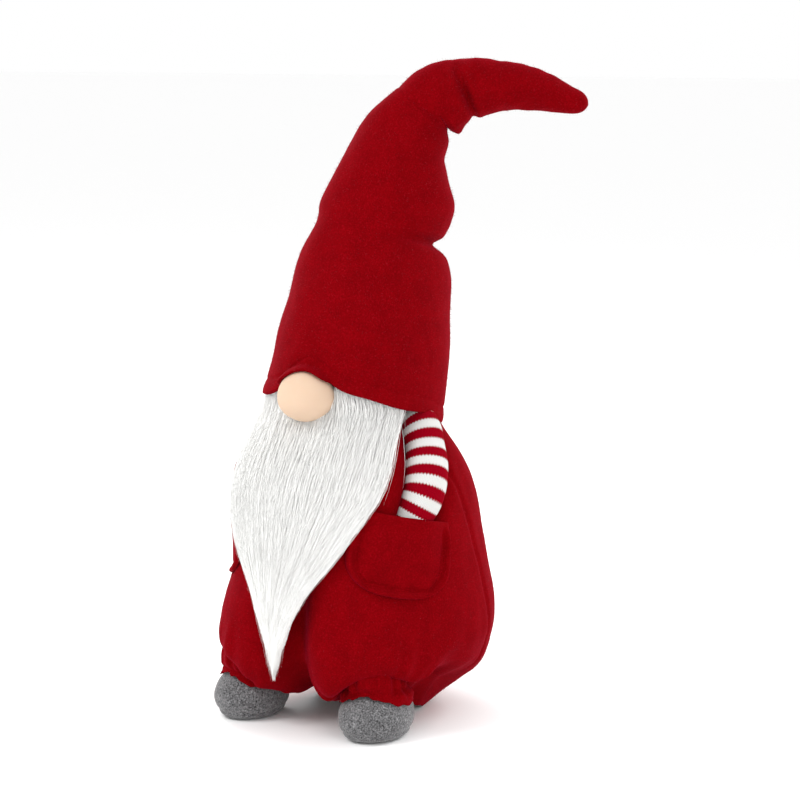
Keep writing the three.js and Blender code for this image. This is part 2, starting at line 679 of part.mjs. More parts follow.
function trunk() {
  const cut = (solid, grow) => [1, -1].reduce(
    (all, side) => all.subtract(armRoom(side, grow)).subtract(shoeRoom(grow + 1, side)),
    solid.subtract(ball(NOSE_RADIUS + FILL_GAP + grow, noseCentre))
  );
  const cloth = cut(bodySolid(0), 0).subtract(cut(bodySolid(-CLOTH), CLOTH));
  const collar = box(400, 400, 400, 0, 0, NECK_HEIGHT - 4 + 200);
  const headRoom = box(400, 400, 400, 0, 0, NECK_HEIGHT - 4 - SEAM_GAP + 200);
  const base = ellipticPost(BASE_HALF_WIDTH, BASE_HALF_DEPTH, -CLOTH, BASE_ROOM, 0, BASE_BACK);
  const wide = BASE_HALF_WIDTH + SEAM_GAP;
  const baseRoom = ellipticPost(wide, BASE_HALF_DEPTH + SEAM_GAP, -CLOTH, BASE_ROOM + SEAM_GAP, 0, BASE_BACK);
  const ankles = [1, -1].map((side) => ankleRoom(side)).reduce((all, one) => all.add(one));
  const overalls = cloth.subtract(headRoom).subtract(baseRoom).subtract(ankles);
  const panel = (side, back) => {
    const half = overalls.intersect(sideHalf(side, SEAM_GAP / 2));
    return back ? half.intersect(backHalf(SEAM_GAP / 2)) : half.subtract(backHalf(-SEAM_GAP / 2));
  };
  const boardTop = CLOTH + SEAM_GAP + BOARD_THICKNESS;
  const weightFloor = boardTop + SEAM_GAP;
  const boardFloor = CLOTH + SEAM_GAP;
  const boardPost = ellipticPost(WEIGHT_RADIUS + 6, WEIGHT_RADIUS - 10, boardFloor, boardTop, 0, WEIGHT_BACK);
  const board = boardPost.intersect(bodySolid(-CLOTH - SEAM_GAP));
  const weight = toSolid(
    turned(
      [
        [0, 0],
        [WEIGHT_RADIUS * 0.8, 0],
        [WEIGHT_RADIUS, WEIGHT_HEIGHT * 0.4],
        [WEIGHT_RADIUS * 0.75, WEIGHT_HEIGHT * 0.85],
        [0, WEIGHT_HEIGHT],
      ],
      32
    ).translate(0, WEIGHT_BACK, weightFloor)
  );
  const weightTop = weightFloor + WEIGHT_HEIGHT + FILL_GAP;
  const weightRoom = ellipticPost(WEIGHT_RADIUS + 8, WEIGHT_RADIUS + 2, 0, weightTop, 0, WEIGHT_BACK);
  const filling = cut(bodySolid(-CLOTH - FILL_GAP), CLOTH + FILL_GAP).subtract(weightRoom).subtract(ankles);
  return { panel, board, weight, filling, head: cloth.intersect(collar), base: cloth.intersect(base) };
}

function ankleRoom(side) {
  const radius = ANKLE_RADIUS + THREAD_RADIUS + SEAM_GAP * 2;
  return ellipticPost(radius, radius, 0, SHOE_HEIGHT + 4, side * SHOE_X, SHOE_Y);
}

function ankleElastic(side) {
  const profile = [];
  for (let i = 0; i <= 4; i += 1) {
    const turn = (Math.PI * 2 * i) / 4;
    profile.push([ANKLE_RADIUS + THREAD_RADIUS * Math.cos(turn), THREAD_RADIUS * Math.sin(turn)]);
  }
  const height = SHOE_HEIGHT + 1;
  return toSolid(turned(profile).translate(side * SHOE_X, SHOE_Y, height));
}

// ---- Materials ----

const fleece = new THREE.MeshStandardMaterial({ color: 0x9c0a1c, roughness: 1, metalness: 0 });
const knit = new THREE.MeshStandardMaterial({ color: 0xd9a8a8, roughness: 0.95, metalness: 0 });
const fur = new THREE.MeshStandardMaterial({ color: 0xeeeff0, roughness: 0.9, metalness: 0 });
const jersey = new THREE.MeshStandardMaterial({ color: 0xf4d7b4, roughness: 0.85, metalness: 0 });
const felt = new THREE.MeshStandardMaterial({ color: 0x77777a, roughness: 1, metalness: 0 });
const fibre = new THREE.MeshStandardMaterial({ color: 0xf3f1ea, roughness: 1, metalness: 0 });
const steel = new THREE.MeshStandardMaterial({ color: 0xa8abae, roughness: 0.4, metalness: 1 });
const bagCloth = new THREE.MeshStandardMaterial({ color: 0xcbbf9f, roughness: 0.95, metalness: 0 });
const boardCard = new THREE.MeshStandardMaterial({ color: 0xb59a72, roughness: 0.9, metalness: 0 });
const thread = new THREE.MeshStandardMaterial({ color: 0x7d0716, roughness: 0.8, metalness: 0 });
const elastic = new THREE.MeshStandardMaterial({ color: 0xe8e4da, roughness: 0.8, metalness: 0 });

// ---- Assembly ----

const figure = new THREE.Group();

function place(name, shape, material, parent = figure) {
  const geometry = shape.isBufferGeometry ? shape : toGeometry(shape);
  const mesh = new THREE.Mesh(geometry, material);
  mesh.name = name;
  parent.add(mesh);
}

const body = trunk();
place("body_filling", body.filling, fibre);
place("body_top_cover", body.head, fleece);
place("base_panel", body.base, fleece);
place("base_board", body.board, boardCard);
place("weight_bag", body.weight, bagCloth);

for (const [name, side] of [["left", 1], ["right", -1]]) {
  place(`overalls_front_${name}`, body.panel(side, false), fleece);
  place(`overalls_back_${name}`, body.panel(side, true), fleece);
  place(`pocket_${name}`, pocket(side), fleece);
  place(`ankle_elastic_${name}`, ankleElastic(side), elastic);
  const { sleeve, filling: armFilling } = arm(side);
  place(`sleeve_${name}`, sleeve, knit);
  place(`arm_filling_${name}`, armFilling, fibre);
  const { upper, sole, filling: shoeFilling } = shoe(side);
  place(`shoe_upper_${name}`, upper, felt);
  place(`shoe_sole_${name}`, sole, felt);
  place(`shoe_filling_${name}`, shoeFilling, fibre);
}

const noseParts = nose();
place("nose_cover", noseParts.cover, jersey);
place("nose_filling", noseParts.filling, fibre);

const hatParts = hat();
place("hat_lower", hatParts.lower, fleece);
place("hat_lower_filling", hatParts.lowerFill, fibre);
place("hat_hem_stitching", hatParts.hem, thread);
place("hat_middle", hatParts.middle, fleece);
place("hat_middle_filling", hatParts.middleFill, fibre);
place("hat_tip", hatParts.tip, fleece);
place("hat_tip_filling", hatParts.tipFill, fibre);
hatParts.wires.forEach((shape, i) => place(`hat_wire_${["lower", "middle", "tip"][i]}`, shape, steel));

const beardParts = beard(hatParts.envelope);
place("beard_backing", beardParts.backing, bagCloth);
place("beard_pile", beardParts.pile, fur);

export default figure;
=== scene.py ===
"""Stuffed tomte in red fleece: overalls with two pockets, striped sleeves, felt shoes, a long fur beard
and a tall hat whose tip flops over.  Every cloth, fur and felt piece is modelled over its working frame.
Lengths in the tables are millimetres."""
import math

import bmesh
import bpy
import numpy as np
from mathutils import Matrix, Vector


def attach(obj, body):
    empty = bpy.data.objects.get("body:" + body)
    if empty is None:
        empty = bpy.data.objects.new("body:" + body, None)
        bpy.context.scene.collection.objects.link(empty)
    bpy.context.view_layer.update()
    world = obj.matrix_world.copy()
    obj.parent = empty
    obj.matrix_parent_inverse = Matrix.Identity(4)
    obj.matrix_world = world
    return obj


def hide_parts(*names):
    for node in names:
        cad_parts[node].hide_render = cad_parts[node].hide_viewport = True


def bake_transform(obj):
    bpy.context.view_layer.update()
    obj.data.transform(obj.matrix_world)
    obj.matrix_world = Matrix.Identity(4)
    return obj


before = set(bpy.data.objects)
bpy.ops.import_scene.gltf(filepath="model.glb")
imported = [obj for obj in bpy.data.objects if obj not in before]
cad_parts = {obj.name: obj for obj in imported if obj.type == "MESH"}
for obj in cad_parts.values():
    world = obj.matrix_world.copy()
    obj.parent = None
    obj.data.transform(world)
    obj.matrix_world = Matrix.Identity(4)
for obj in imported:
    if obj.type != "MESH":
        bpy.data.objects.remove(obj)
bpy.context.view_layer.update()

bl_info = {
    "name": "Fleece tomte",
    "version": (1, 0, 0),
    "blender": (4, 5, 0),
    "location": "3D View > Sidebar > Tomte",
    "description": "Builds a stuffed tomte in fleece, knit, felt and fur",
    "category": "Add Mesh",
}

MM = 0.001

# body outline: height and radius, from the seat to the crown
BODY_OUTLINE = (
    (0, 54), (6, 66), (18, 84), (38, 101), (78, 108), (115.7, 105), (191, 89), (232.25, 69), (246, 62),
    (266, 52), (278, 30), (286, 0.5),
)
# points of a surface nearer than this, in metres, become one
WELD = 0.00002
GROOVE_DEPTH, GROOVE_DEPTH_BELOW, GROOVE_WIDTH = 26, 20, 17
LEG_SWELL = 10
SHOE_X, SHOE_Y = 60, -62
BELLY_SHIFT = np.array([2.6, 1.7])
SHOE_HALF = (27.4, 35, 26.4)
SHOE_CENTRE = 17.6
SOLE_HEIGHT = 7
TOE_DROP = 3
# leg end: height of its edge at the sides, how much higher it is over the toe, and where it starts in the leg
HEM_LOW, HEM_ARCH, HEM_TOP = 27, 10, 62
# share of the leg end's cloth that is outside its edge, and the height of what is turned under
HEM_TURN, HEM_UNDER = 0.85, 6
NOSE = (0, -69, 263)
NOSE_RADIUS = 22.5
# arm line: turn from the front, distance from the body's axis, height, radius
ARM_LINE = (
    (90, 50, 247, 13), (86, 64, 235, 16), (79, 77, 212, 16.8), (71, 86, 188, 16.6), (63, 84, 166, 15),
    (56, 84, 146, 12), (50, 85, 128, 10.5),
)
POCKET_TURN, POCKET_WIDTH, POCKET_HEIGHT, POCKET_BOTTOM, POCKET_SLANT = 54, 88, 62, 113, 12
HAT_TURN, HAT_TILT, HAT_LEAN = 33, 14, 8
# how far the hat bends over its middle length, at the upper fold and along its tip, in degrees
MIDDLE_BEND, FOLD_BEND, TIP_BEND = 30, 15, 53
BRIM_HEIGHT = 248
HAT_LOWER, HAT_SECOND, HAT_LENGTH = 133, 248, 378
HAT_OUTLINE = (
    (0, 74.9), (33, 75.4), (66.5, 71.9), (133, 52), (158, 53), (188, 49), (219, 39.5), (248, 27), (282, 23),
    (320, 18.4), (345, 14.4), (362, 11.4), (371, 8.8), (376, 5), (378, 0.4),
)
# how far the hat's outer and inner sides stand off its round outline, by distance along it
HAT_OUTER = (
    (0, 1), (14, -2), (30, -4.5), (70, -5), (95, 0), (112, 3.5), (128, 3.2), (142, 0.5), (152, -1.5),
    (165, -4.5), (178, -6.5), (190, -6), (205, -3),
    (220, 0.5), (235, 4), (248, 8), (262, 7), (275, 6), (290, 1.5), (310, 0), (378, 0),
)
HAT_INNER = (
    (0, -6), (60, -5.5), (95, -2), (110, 1), (121, 2.5), (128, 1.5), (133, 0), (190, 0), (205, -4), (225, -8),
    (240, -9), (250, -6), (262, -3), (280, 0), (378, 0),
)
# folds and bulges of the hat: place along it, width and height; the tip's side folds lie at one end of the
# fold axis, the others on the side it flops to
LOWER_FOLDS = ((136, 5.5, -9.5), (176, 20, 3), (104, 18, 2.5), (220, 6, -1.5), (234, 8, 2))
TIP_SIDE_FOLDS = ((277, 3.6, -8), (268, 6, 2.5), (288, 3, -1.2))
TIP_INNER_FOLDS = ((255, 9, 6.5), (276, 4, -2))
# where the tip's cloth starts inside the lower cloth, and how far the tip sags
TIP_START, TIP_SAG = 216, 4
# beard: height and half turn in degrees
BEARD_EDGE = (
    (45, 0), (70, 2.8), (95, 7.5), (118, 14), (136, 22), (160, 32), (187, 44), (225, 56), (252, 68),
    (262, 66), (280, 56),
)
BEARD_TOP, BEARD_TIP = 276, 46
# how much further off the body the beard's right edge lies, over the sleeve
OVER_SLEEVE = 4
# lower and upper edge of the short fur under the hairs
GROUND_LOW, GROUND_TOP = 74, 268


def smooth(x, low, high):
    t = np.clip((x - low) / (high - low), 0, 1)
    return t * t * (3 - 2 * t)


def bell(x, width):
    return np.exp(-((x / width) ** 2))


def follow(stations, share):
    """Smooth curve through evenly shared stations."""
    table = np.array(stations, float)
    last = len(table) - 1
    place = np.clip(share, 0, 1) * last
    k = np.minimum(place.astype(int), last - 1)
    t = (place - k)[..., None]
    a, b = table[np.maximum(k - 1, 0)], table[k]
    c, d = table[k + 1], table[np.minimum(k + 2, last)]
    return 0.5 * (2 * b + (c - a) * t + (2 * a - 5 * b + 4 * c - d) * t**2 + (3 * b - a - 3 * c + d) * t**3)


BODY_LINE = follow(BODY_OUTLINE, np.linspace(0, 1, 400))


def body_radius(height):
    return np.interp(height, BODY_LINE[:, 0], BODY_LINE[:, 1])


def wobble(points, size, seed):
    """Soft unevenness between -1 and 1, with hills about size apart."""
    rng = np.random.default_rng(seed)
    total = np.zeros(len(points))
    for _ in range(9):
        direction = rng.normal(size=3)
        direction *= 2 * math.pi / size / np.linalg.norm(direction) * rng.uniform(0.6, 1.4)
        total += np.sin(points @ direction + rng.uniform(0, 2 * math.pi))
    return total / 4


def arm_line(side, count=90):
    """Centre points and radii of one arm, from shoulder to hand."""
    table = follow(ARM_LINE, np.linspace(0, 1, count))
    turn = np.radians(table[:, 0])
    points = np.stack([side * table[:, 1] * np.sin(turn), -table[:, 1] * np.cos(turn), table[:, 2]], 1)
    return points, table[:, 3]


def hat_line():
    """Centre points and directions of the hat, one a millimetre from the brim."""
    flop = np.array([math.cos(math.radians(HAT_TURN)), math.sin(math.radians(HAT_TURN)), 0])
    axis = np.array([-flop[1], flop[0], 0])
    point, points, directions = np.array([0.0, 0.0, BRIM_HEIGHT]), [], []
    for d in range(HAT_LENGTH + 1):
        middle = smooth(d, HAT_LOWER, HAT_SECOND)
        tip = min(max(d - HAT_SECOND, 0) / (137 * 0.7), 1)
        kink = FOLD_BEND if d > HAT_SECOND else 0
        bend = math.radians(HAT_LEAN + MIDDLE_BEND * middle + kink + TIP_BEND * tip)
        back = math.radians(HAT_TILT) * math.cos(math.radians(HAT_TURN))
        back *= 1 - smooth(d, HAT_LOWER * 0.7, HAT_SECOND)
        direction = flop * math.sin(bend) + axis * math.sin(back) + np.array([0, 0, math.cos(bend)])
        direction /= np.linalg.norm(direction)
        points.append(point)
        directions.append(direction)
        point = point + direction
    return np.array(points), np.array(directions), axis


HAT_POINTS, HAT_DIRECTIONS, FOLD_AXIS = hat_line()


def finish_mesh(bm, name, smooth_faces=True):
    mesh = bpy.data.meshes.new(name)
    for face in bm.faces:
        face.smooth = smooth_faces
    bm.to_mesh(mesh)
    bm.free()
    obj = bpy.data.objects.new(name, mesh)
    bpy.context.scene.collection.objects.link(obj)
    return obj


def surface(name, around, along, place, thick=0):
    """A grid laid over the surface that place(across, up) gives, in millimetres, with its grid as UV."""
    bm = bmesh.new()
    bmesh.ops.create_grid(bm, x_segments=around, y_segments=along, size=0.5)
    cover = bm.loops.layers.uv.new("UVMap")
    for face in bm.faces:
        for loop in face.loops:
            loop[cover].uv = (loop.vert.co.x + 0.5, loop.vert.co.y + 0.5)
    grid = np.array([v.co for v in bm.verts]) + 0.5
    points = place(grid[:, 0], grid[:, 1]) * MM
    for vertex, point in zip(bm.verts, points):
        vertex.co = point
    bmesh.ops.remove_doubles(bm, verts=bm.verts, dist=WELD)
    bmesh.ops.dissolve_degenerate(bm, edges=bm.edges, dist=WELD / 2)
    bmesh.ops.recalc_face_normals(bm, faces=bm.faces)
    if thick:
        bmesh.ops.solidify(bm, geom=bm.faces[:], thickness=thick * MM)
        bmesh.ops.recalc_face_normals(bm, faces=bm.faces)
    return finish_mesh(bm, name)


def push_clear(points, centres, radii, gap):
    """Moves points towards the body's axis until they lie outside a row of balls."""
    points = points.copy()
    for _ in range(10):
        flat = points * [1, 1, 0]
        inward = -flat / np.maximum(np.linalg.norm(flat, axis=1), 1)[:, None]
        away = np.linalg.norm(points[:, None] - centres[None], axis=2) - radii[None] - gap
        depth = np.clip(-away.min(1), 0, None)
        points += inward * (depth * 0.5)[:, None]
    return points


# ---------------------------------------------------------------- materials


def node_group(name, inputs, outputs):
    group = bpy.data.node_groups.new(name, "ShaderNodeTree")
    for label, kind, value in inputs:
        socket = group.interface.new_socket(label, in_out="INPUT", socket_type=kind)
        socket.default_value = value
    for label, kind in outputs:
        group.interface.new_socket(label, in_out="OUTPUT", socket_type=kind)
    return group, group.nodes.new("NodeGroupInput"), group.nodes.new("NodeGroupOutput")


def add(tree, kind, inputs=(), **settings):
    node = tree.nodes.new(kind)
    for key, value in settings.items():
        setattr(node, key, value)
    for socket, value in dict(inputs).items():
        if isinstance(value, bpy.types.NodeSocket):
            tree.links.new(value, node.inputs[socket])
        else:
            node.inputs[socket].default_value = value
    return node


def math_node(tree, operation, first, second=0.0):
    return add(tree, "ShaderNodeMath", {0: first, 1: second}, operation=operation).outputs[0]


def mix_colour(tree, share, first, second, kind="MIX"):
    node = add(tree, "ShaderNodeMix", data_type="RGBA", blend_type=kind)
    for socket, value in ((0, share), (6, first), (7, second)):
        if isinstance(value, bpy.types.NodeSocket):
            tree.links.new(value, node.inputs[socket])
        else:
            node.inputs[socket].default_value = value
    return node.outputs[2]


def waves(tree, value, pace):
    """Even humps between 0 and 1."""
    return math_node(tree, "ABSOLUTE", math_node(tree, "SINE", math_node(tree, "MULTIPLY", value, pace)))


def nap_group():
    """Brushed nap: fine speckle and broad cloudiness in colour, and the fibre relief."""
    group, start, end = node_group(
        "nap",
        [
            ("Colour", "NodeSocketColor", (0.3, 0.0, 0.01, 1)),
            ("Shade", "NodeSocketColor", (0.15, 0.0, 0.005, 1)),
            ("Light", "NodeSocketColor", (0.5, 0.02, 0.04, 1)),
            ("Fibre Size", "NodeSocketFloat", 900.0),
            ("Speckle", "NodeSocketFloat", 0.55),
        ],
        [("Colour", "NodeSocketColor"), ("Height", "NodeSocketFloat")],
    )
    place = add(group, "ShaderNodeTexCoord").outputs["Object"]
    size = start.outputs["Fibre Size"]
    fine = add(group, "ShaderNodeTexNoise", {"Vector": place, "Scale": size, "Detail": 3.0})
    cloud = add(group, "ShaderNodeTexNoise", {"Vector": place, "Scale": 75.0, "Detail": 2.0})
    speckle = start.outputs["Speckle"]
    low = add(group, "ShaderNodeMapRange", {0: fine.outputs[0], 1: 0.3, 2: 0.52, 3: speckle, 4: 0.0})
    high = add(group, "ShaderNodeMapRange", {0: fine.outputs[0], 1: 0.55, 2: 0.75, 3: 0.0, 4: 0.5})
    broad = add(group, "ShaderNodeMapRange", {0: cloud.outputs[0], 1: 0.35, 2: 0.7, 3: 0.0, 4: 0.35})
    colour = mix_colour(group, low.outputs[0], start.outputs["Colour"], start.outputs["Shade"])
    colour = mix_colour(group, broad.outputs[0], colour, start.outputs["Shade"])
    colour = mix_colour(group, high.outputs[0], colour, start.outputs["Light"])
    group.links.new(colour, end.inputs["Colour"])
    group.links.new(fine.outputs[0], end.inputs["Height"])
    return group


def knit_group():
    """Stocking stitch over a UV: round bands of red and white with a V relief, whose low parts also darken
    the colour as painted shade in the hollows between the stitches.
    """
    group, start, end = node_group(
        "knit",
        [
            ("Stripe", "NodeSocketColor", (0.3, 0.0, 0.008, 1)),
            ("Ground", "NodeSocketColor", (0.8, 0.8, 0.78, 1)),
            ("Bands", "NodeSocketFloat", 10.0),
            ("Stitches Round", "NodeSocketFloat", 52.0),
            ("Stitch Rows", "NodeSocketFloat", 90.0),
        ],
        [("Colour", "NodeSocketColor"), ("Height", "NodeSocketFloat")],
    )
    place = add(group, "ShaderNodeUVMap", uv_map="UVMap").outputs[0]
    split = add(group, "ShaderNodeSeparateXYZ", {0: place})
    across = math_node(group, "MULTIPLY", split.outputs[0], start.outputs["Stitches Round"])
    zigzag = math_node(group, "MULTIPLY", math_node(group, "PINGPONG", across, 0.5), 2.0)
    rows = math_node(group, "MULTIPLY", split.outputs[1], start.outputs["Stitch Rows"])
    slanted = math_node(group, "ADD", rows, zigzag)
    per_row = math_node(group, "DIVIDE", start.outputs["Bands"], start.outputs["Stitch Rows"])
    band = math_node(group, "FRACT", math_node(group, "MULTIPLY", slanted, per_row))
    white = math_node(group, "LESS_THAN", band, 0.47)
    colour = mix_colour(group, white, start.outputs["Stripe"], start.outputs["Ground"])
    ridge = waves(group, slanted, math.pi)
    column = waves(group, across, 2 * math.pi)
    ridge, column = math_node(group, "POWER", ridge, 0.6), math_node(group, "POWER", column, 0.5)
    height = math_node(group, "MULTIPLY", ridge, column)
    # painted shade: the colour is multiplied by a factor that runs from 1.05 on the stitch tops down to 0.6
    # in the hollows between them
    shade = math_node(group, "MULTIPLY_ADD", height, 0.45)
    shade.node.inputs[2].default_value = 0.6
    painted_stitch_shade = add(group, "ShaderNodeCombineColor", {0: shade, 1: shade, 2: shade}).outputs[0]
    colour = mix_colour(group, 1.0, colour, painted_stitch_shade, "MULTIPLY")
    group.links.new(colour, end.inputs["Colour"])
    group.links.new(height, end.inputs["Height"])
    return group


def fur_group():
    """Streaks that run down a UV."""
    group, start, end = node_group(
        "fur_streaks",
        [
            ("Light", "NodeSocketColor", (0.92, 0.92, 0.9, 1)),
            ("Shade", "NodeSocketColor", (0.74, 0.74, 0.73, 1)),
        ],
        [("Colour", "NodeSocketColor"), ("Height", "NodeSocketFloat")],
    )
    place = add(group, "ShaderNodeUVMap", uv_map="UVMap").outputs[0]
    long = add(group, "ShaderNodeMapping", {"Vector": place, "Scale": (190.0, 7.0, 1.0)})
    streak = add(group, "ShaderNodeTexNoise", {"Vector": long.outputs[0], "Scale": 1.0, "Detail": 4.0})
    share = add(group, "ShaderNodeMapRange", {0: streak.outputs[0], 1: 0.35, 2: 0.62})
    colour = mix_colour(group, share.outputs[0], start.outputs["Shade"], start.outputs["Light"])
    group.links.new(colour, end.inputs["Colour"])
    group.links.new(streak.outputs[0], end.inputs["Height"])
    return group


GROUPS = {}


def material(name, group, values, constants, bump=0.0, distance=0.0005):
    made = bpy.data.materials.new(name)
    made.use_nodes = True
    tree = made.node_tree
    shader = tree.nodes["Principled BSDF"]
    for socket, value in constants.items():
        shader.inputs[socket].default_value = value
    if group:
        maker = {"nap": nap_group, "knit": knit_group, "fur_streaks": fur_group}[group]
        if group not in GROUPS:
            GROUPS[group] = maker()
        use = add(tree, "ShaderNodeGroup", node_tree=GROUPS[group])
        for socket, value in values.items():
            use.inputs[socket].default_value = value
        tree.links.new(use.outputs["Colour"], shader.inputs["Base Color"])
        if bump:
            height = use.outputs["Height"]
            relief = add(tree, "ShaderNodeBump", {"Height": height, "Strength": bump, "Distance": distance})
            tree.links.new(relief.outputs[0], shader.inputs["Normal"])
    return made


def make_materials():
    settings = bpy.context.scene.tomte
    cloth = {"Roughness": 0.95, "Specular IOR Level": 0.02}
    fleece = {"Colour": settings.fleece_colour, "Shade": settings.fleece_shade}
    fleece["Light"] = settings.fleece_light
    sheen = {"Sheen Weight": 0.15, "Sheen Roughness": 0.4, "Sheen Tint": (1.0, 0.02, 0.1, 1)}
    knit = {"Bands": settings.sleeve_bands, "Stitch Rows": settings.sleeve_bands * 8, "Stitches Round": 40.0}
    felt = {"Colour": settings.felt_colour, "Shade": (0.012, 0.012, 0.013, 1), "Light": (0.45, 0.45, 0.46, 1)}
    felt.update({"Fibre Size": 760.0, "Speckle": 0.95})
    pale = {"Sheen Weight": 0.3, "Sheen Roughness": 0.5}
    made = {}
    made["red_fleece"] = material("red_fleece", "nap", fleece, {**cloth, **sheen}, 0.3, 0.0005)
    made["striped_knit"] = material("striped_knit", "knit", knit, cloth, 0.7, 0.0008)
    made["grey_felt"] = material("grey_felt", "nap", felt, {**cloth, **pale}, 0.7, 0.0008)
    jersey = {"Base Color": settings.nose_colour, "Subsurface Weight": 0.12}
    jersey["Subsurface Radius"] = (0.01, 0.005, 0.003)
    made["peach_jersey"] = material("peach_jersey", None, {}, {**cloth, **jersey})
    made["fur_ground"] = material("fur_ground", "fur_streaks", {}, {"Roughness": 0.7, **pale}, 0.4, 0.0006)
    strand = {"Base Color": settings.hair_colour, "Roughness": 0.45, "Specular IOR Level": 0.4}
    fibre = {"Base Color": (0.3, 0.004, 0.015, 1), "Roughness": 0.9}
    made["nap_fibre"] = material("nap_fibre", None, {}, fibre)
    made["white_fur"] = material("white_fur", None, {}, strand)
    for name, colour, rough, metal in (
        ("fibrefill", (0.8, 0.8, 0.78, 1), 0.95, 0.0),
        ("steel_wire", (0.45, 0.45, 0.46, 1), 0.35, 1.0),
        ("weight_grains", (0.62, 0.6, 0.55, 1), 0.6, 0.0),
        ("board", (0.42, 0.33, 0.22, 1), 0.8, 0.0),
        ("backing_cloth", (0.75, 0.75, 0.73, 1), 0.9, 0.0),
        ("red_thread", (0.25, 0.002, 0.01, 1), 0.6, 0.0),
        ("elastic", (0.35, 0.004, 0.012, 1), 0.7, 0.0),
    ):
        made[name] = material(name, None, {}, {"Base Color": colour, "Roughness": rough, "Metallic": metal})
    return made


MATERIALS = {}


def dress(obj, name):
    if not MATERIALS:
        MATERIALS.update(make_materials())
    obj.data.materials.clear()
    obj.data.materials.append(MATERIALS[name])
    return obj


def mesh_from_curve(name, curve):
    """Turns a finished curve into a mesh object."""
    holder = bpy.data.objects.new(name, curve)
    bpy.context.scene.collection.objects.link(holder)
    mesh = bpy.data.meshes.new_from_object(holder)
    bpy.data.objects.remove(holder)
    bpy.data.curves.remove(curve)
    obj = bpy.data.objects.new(name, mesh)
    bpy.context.scene.collection.objects.link(obj)
    return obj


def new_bundle(name):
    """An empty curve whose lines become four-sided hairs."""
    curve = bpy.data.curves.new(name, "CURVE")
    curve.dimensions = "3D"
    curve.bevel_depth = 1.0
    curve.bevel_resolution = 0
    return curve


def add_hair(curve, points, sizes):
    spline = curve.splines.new("POLY")
    spline.points.add(len(points) - 1)
    spline.points.foreach_set("co", np.concatenate([points, np.ones((len(points), 1))], 1).ravel())
    spline.points.foreach_set("radius", sizes)


def nap(cloth, count, seed):
    """Short loose fibres that stand on a cloth."""
    length = bpy.context.scene.tomte.nap_length
    rng = np.random.default_rng(seed)
    mesh = cloth.data
    faces = len(mesh.polygons)
    areas, centres, normals = np.empty(faces), np.empty(faces * 3), np.empty(faces * 3)
    mesh.polygons.foreach_get("area", areas)
    mesh.polygons.foreach_get("center", centres)
    mesh.polygons.foreach_get("normal", normals)
    centres, normals = centres.reshape(-1, 3), normals.reshape(-1, 3)
    curve = new_bundle(cloth.name + "_nap")
    for k in rng.choice(faces, count, p=areas / areas.sum()):
        start = centres[k] + rng.normal(0, 0.0003, 3)
        ahead = normals[k] + rng.normal(0, 0.55, 3)
        end = start + ahead / np.linalg.norm(ahead) * length * rng.uniform(0.5, 1.3)
        add_hair(curve, np.stack([start - normals[k] * 0.0004, end]), np.array([0.07, 0.02]) * MM)
    return mesh_from_curve(cloth.name + "_nap", curve)


# ---------------------------------------------------------------- overalls


def seam_dent(points):
    """Depth of the side, back and front seams at each point."""
    turn = np.degrees(np.arctan2(points[:, 0], -points[:, 1]))
    radius = body_radius(points[:, 2])
    side_turn = 97 + (160 - points[:, 2]) * 0.09
    side = bell((np.abs(turn) - side_turn) * radius * math.pi / 180, 2.6)
    back = bell((180 - np.abs(turn)) * radius * math.pi / 180, 2.6)
    front = bell(turn * radius * math.pi / 180, 2.4) * smooth(points[:, 2], 90, 130)
    return 2.0 * side * smooth(points[:, 2], 12, 40) + 1.6 * back + 1.2 * front


def waist_dent(turn, height):
    """How far the right side is drawn in under its pocket, from 0 to 1."""
    return bell(turn + 60, 28) * bell(height - 122, 24)


